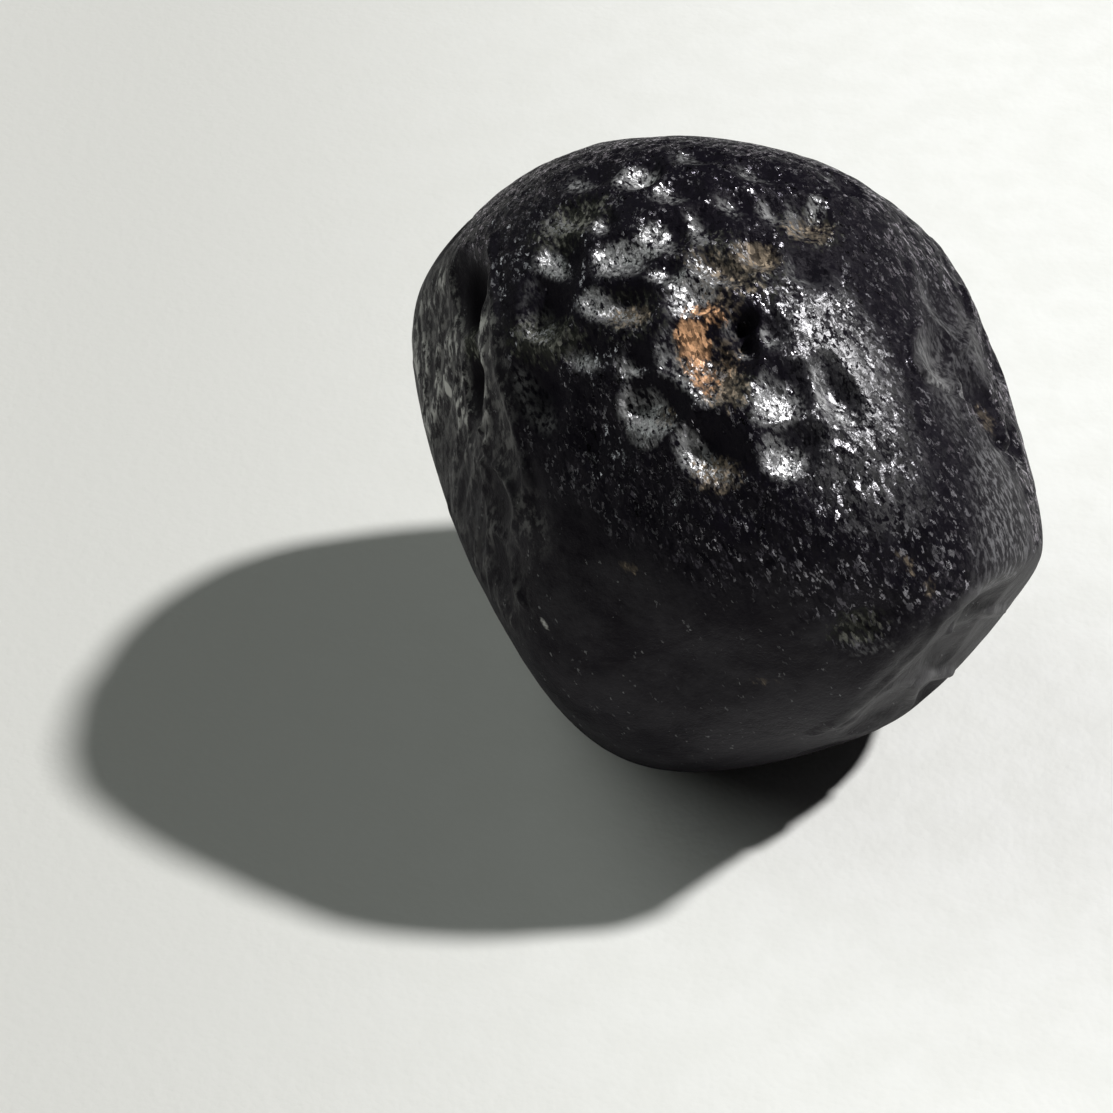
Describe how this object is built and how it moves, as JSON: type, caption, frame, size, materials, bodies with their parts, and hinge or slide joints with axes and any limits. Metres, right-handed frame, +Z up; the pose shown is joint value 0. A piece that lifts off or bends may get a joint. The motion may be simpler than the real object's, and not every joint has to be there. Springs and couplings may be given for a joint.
{
  "type": "pitted black mineral nodule",
  "caption": "Rounded black mineral nodule with overlapping thumbprint cups, rust and tan stained hollows and a smooth lower front, standing on a small worn flat foot.",
  "frame": {"origin": "centre of the flat foot that the stone rests on", "axes": "+Z up, away from the foot; -Y towards the cupped face seen in the picture; +X to the right as seen from -Y"},
  "size_m": [0.0398, 0.0408, 0.0429],
  "materials": {
    "stone": "satin black, water worn, with rust and tan stains in some cups"
  },
  "bodies": {
    "root": {"stone": "stone"}
  },
  "joints": []
}
